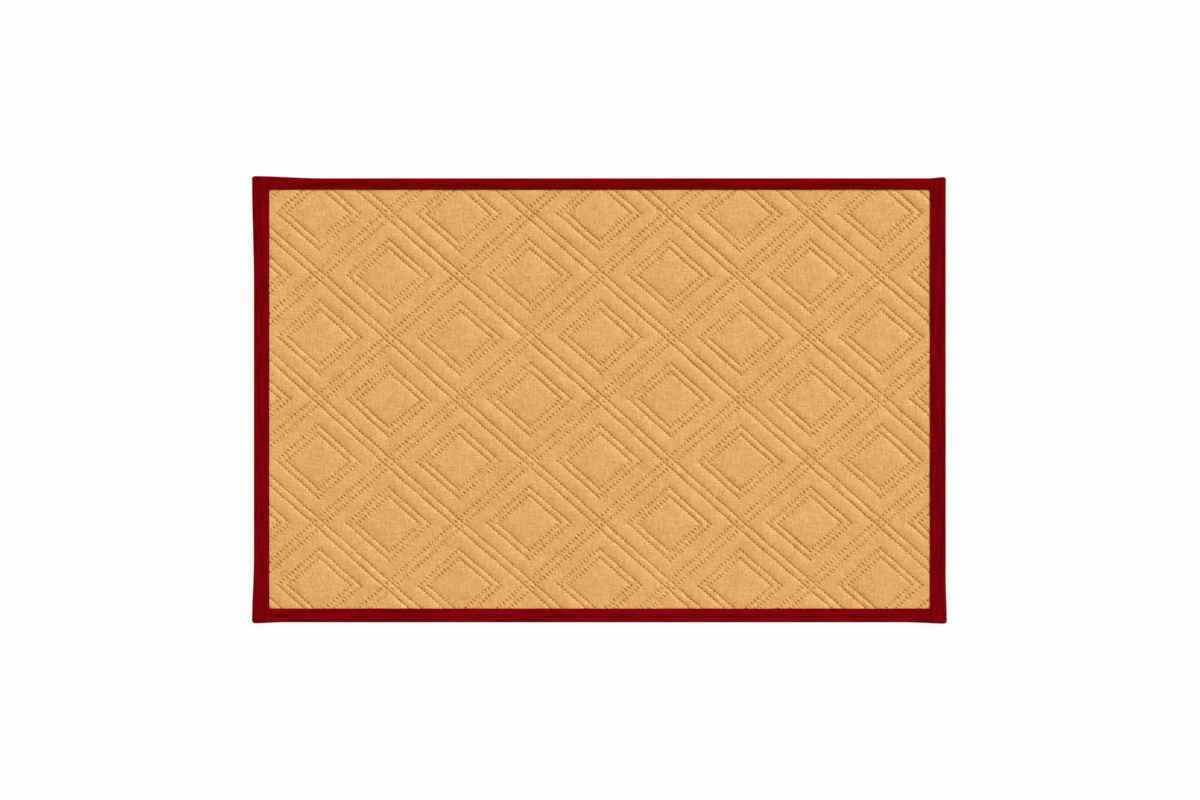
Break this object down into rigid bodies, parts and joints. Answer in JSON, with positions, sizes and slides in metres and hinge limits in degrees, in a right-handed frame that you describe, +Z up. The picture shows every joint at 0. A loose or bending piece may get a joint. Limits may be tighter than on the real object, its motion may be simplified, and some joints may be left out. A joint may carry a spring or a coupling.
{
  "type": "quilted fabric placemat",
  "caption": "Flat oblong table mat of quilted gold cotton, stitched in a diamond trellis and bound all round in dark red cotton.",
  "frame": {"origin": "middle of the mat's outline, on the surface that it lies on", "axes": "+X along the mat's long sides, +Y across it towards its far side, +Z up out of its quilted face"},
  "size_m": [0.46, 0.2964, 0.0032],
  "materials": {
    "gold_cotton": "matte plain-woven cotton, quilted",
    "red_cotton": "smooth close-woven cotton binding"
  },
  "bodies": {
    "root": {"quilted_panel": "gold_cotton", "binding_left": "red_cotton", "binding_right": "red_cotton", "binding_top": "red_cotton", "binding_bottom": "red_cotton"}
  },
  "joints": []
}
